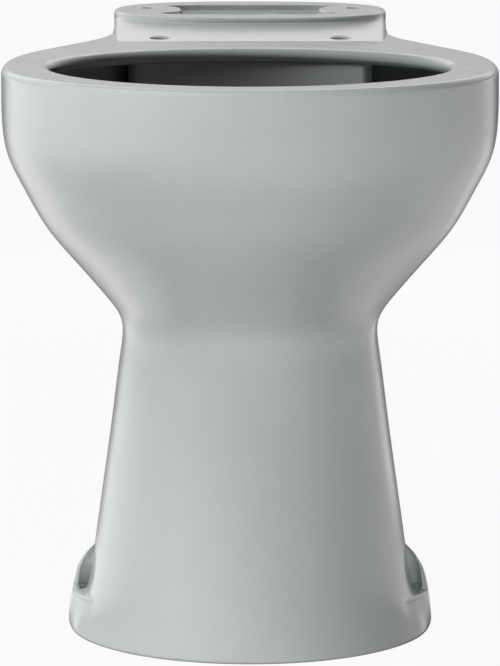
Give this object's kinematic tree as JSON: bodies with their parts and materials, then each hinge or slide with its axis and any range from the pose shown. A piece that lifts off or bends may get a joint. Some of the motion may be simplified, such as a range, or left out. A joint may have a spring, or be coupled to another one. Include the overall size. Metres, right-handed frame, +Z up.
{
  "type": "toilet bowl",
  "caption": "Floor-standing glazed ceramic toilet bowl with an open rim, a waisted pedestal, a rear tank platform and a horizontal outlet.",
  "frame": {"origin": "on the floor, under the middle of the object's length and width", "axes": "+Z up, the front of the bowl faces -Y, +X is to the right when seen from the front"},
  "size_m": [0.362, 0.618, 0.432],
  "materials": {
    "outer_glaze": "gloss",
    "inner_glaze": "gloss"
  },
  "bodies": {
    "root": {"pedestal": "outer_glaze", "bowl": "outer_glaze", "neck_shell": "outer_glaze", "rim_ring": "outer_glaze", "rear_deck": "outer_glaze", "tank_platform": "outer_glaze", "flush_duct": "inner_glaze", "flush_spreader": "inner_glaze", "sump_funnel": "inner_glaze", "trap_bend": "inner_glaze", "trap_riser": "inner_glaze", "trap_outlet": "inner_glaze"}
  },
  "joints": []
}
